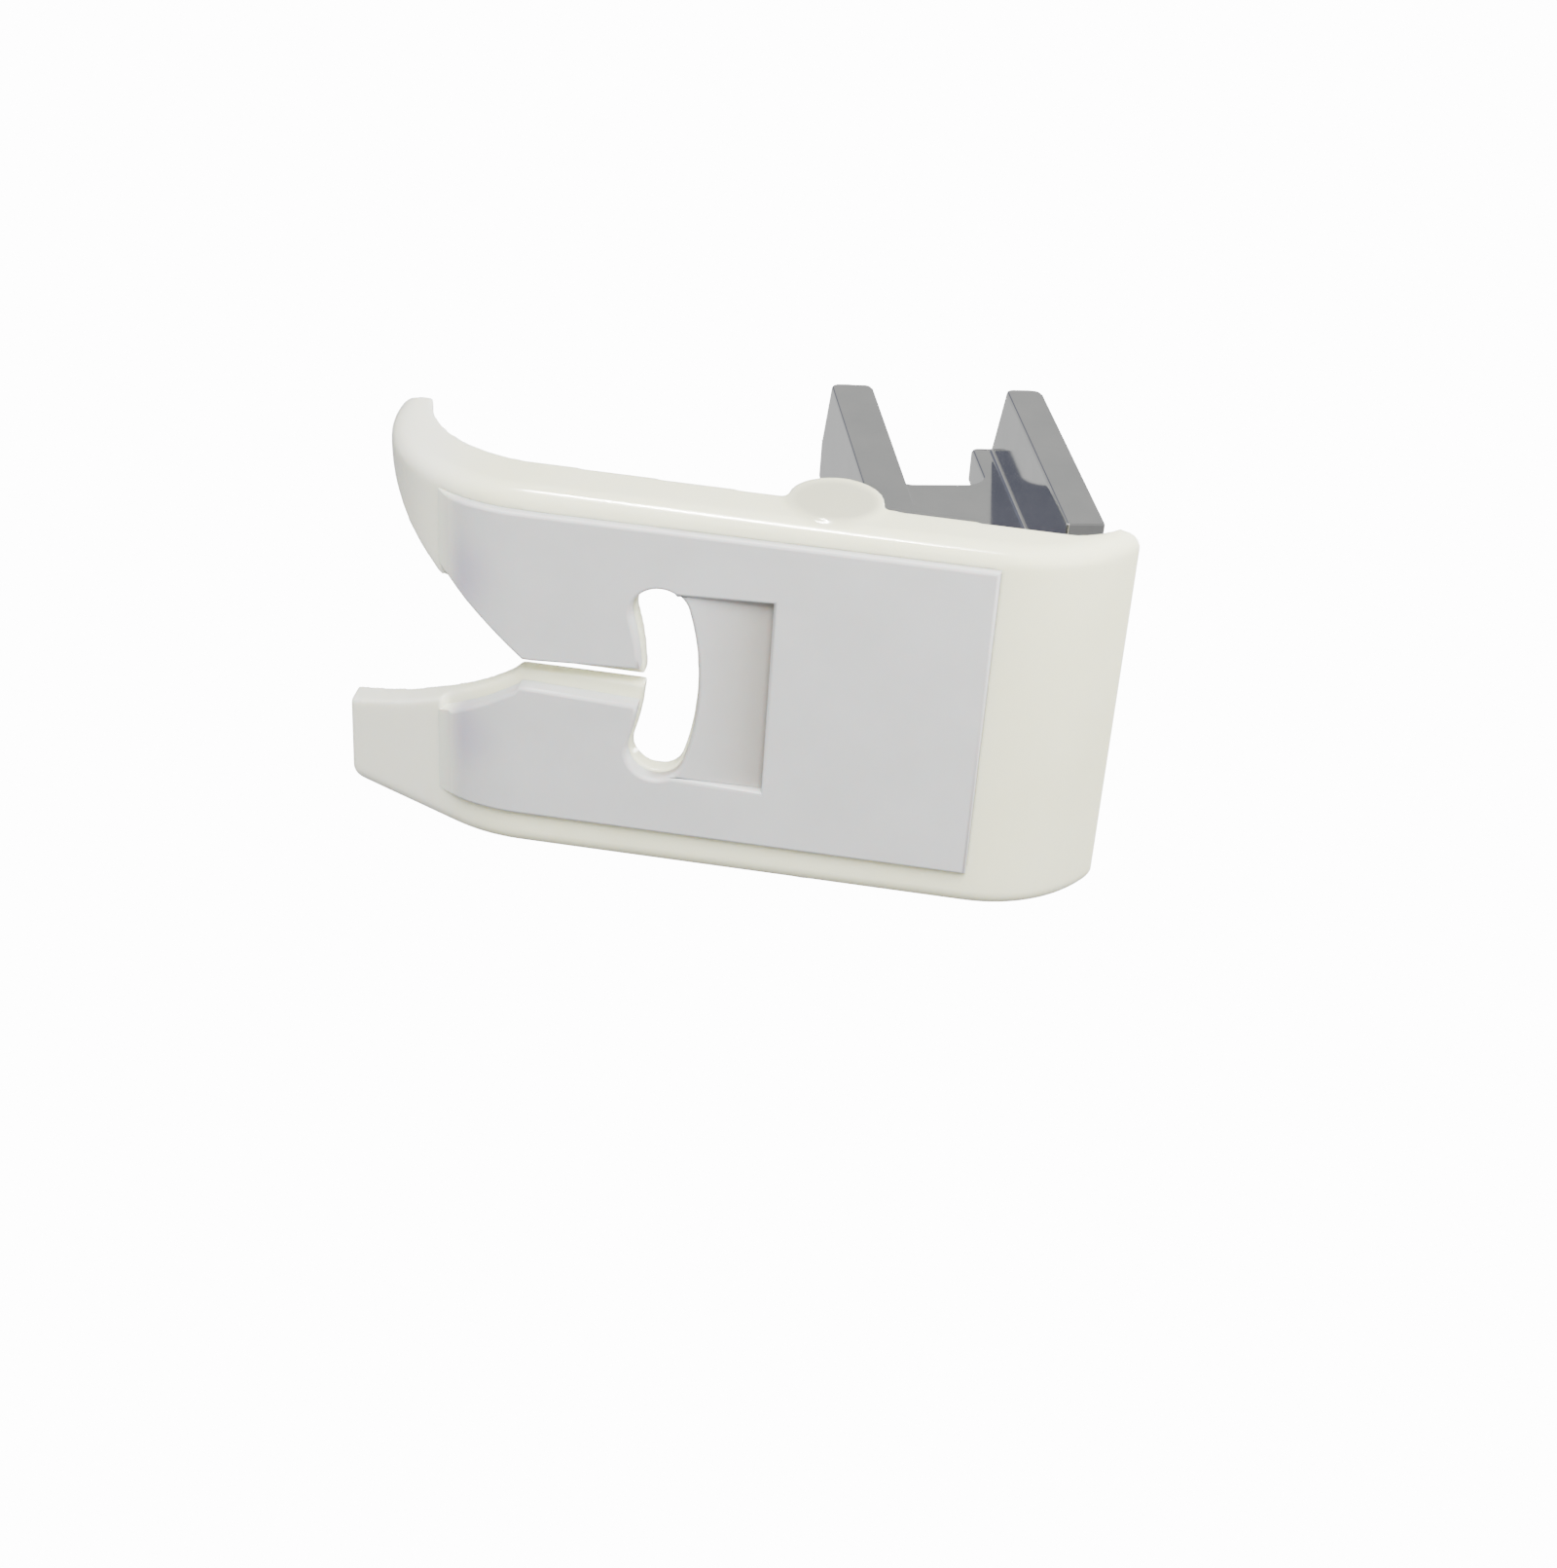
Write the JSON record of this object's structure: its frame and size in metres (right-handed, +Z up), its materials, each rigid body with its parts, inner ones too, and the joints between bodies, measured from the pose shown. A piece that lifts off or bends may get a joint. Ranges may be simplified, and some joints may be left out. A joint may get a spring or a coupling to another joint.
{
  "type": "hinged presser foot",
  "caption": "Hinged sewing machine presser foot: smooth low-friction sole with upturned toes, needle slot and a tall clamp-on metal shank.",
  "frame": {"origin": "centre of the bounding box's base, on the slide pad's face", "axes": "+Z up the shank, -Y towards the toes, +X to the operator's right"},
  "size_m": [0.0182, 0.0344, 0.0367],
  "materials": {
    "sole": "smooth, slightly translucent off-white",
    "pad": "satin low-friction plastic",
    "shank": "plated casting",
    "pin": "ground rod"
  },
  "bodies": {
    "sole": {"sole_body": "sole", "slide_pad": "pad", "hinge_pin": "pin"},
    "shank": {"shank": "shank"}
  },
  "joints": [
    {"name": "shank_hinge", "type": "hinge", "parent": "sole", "child": "shank", "pos_m": [0, 0.00437, 0.003], "axis": [1, 0, 0], "range_deg": [-30, 3]}
  ]
}
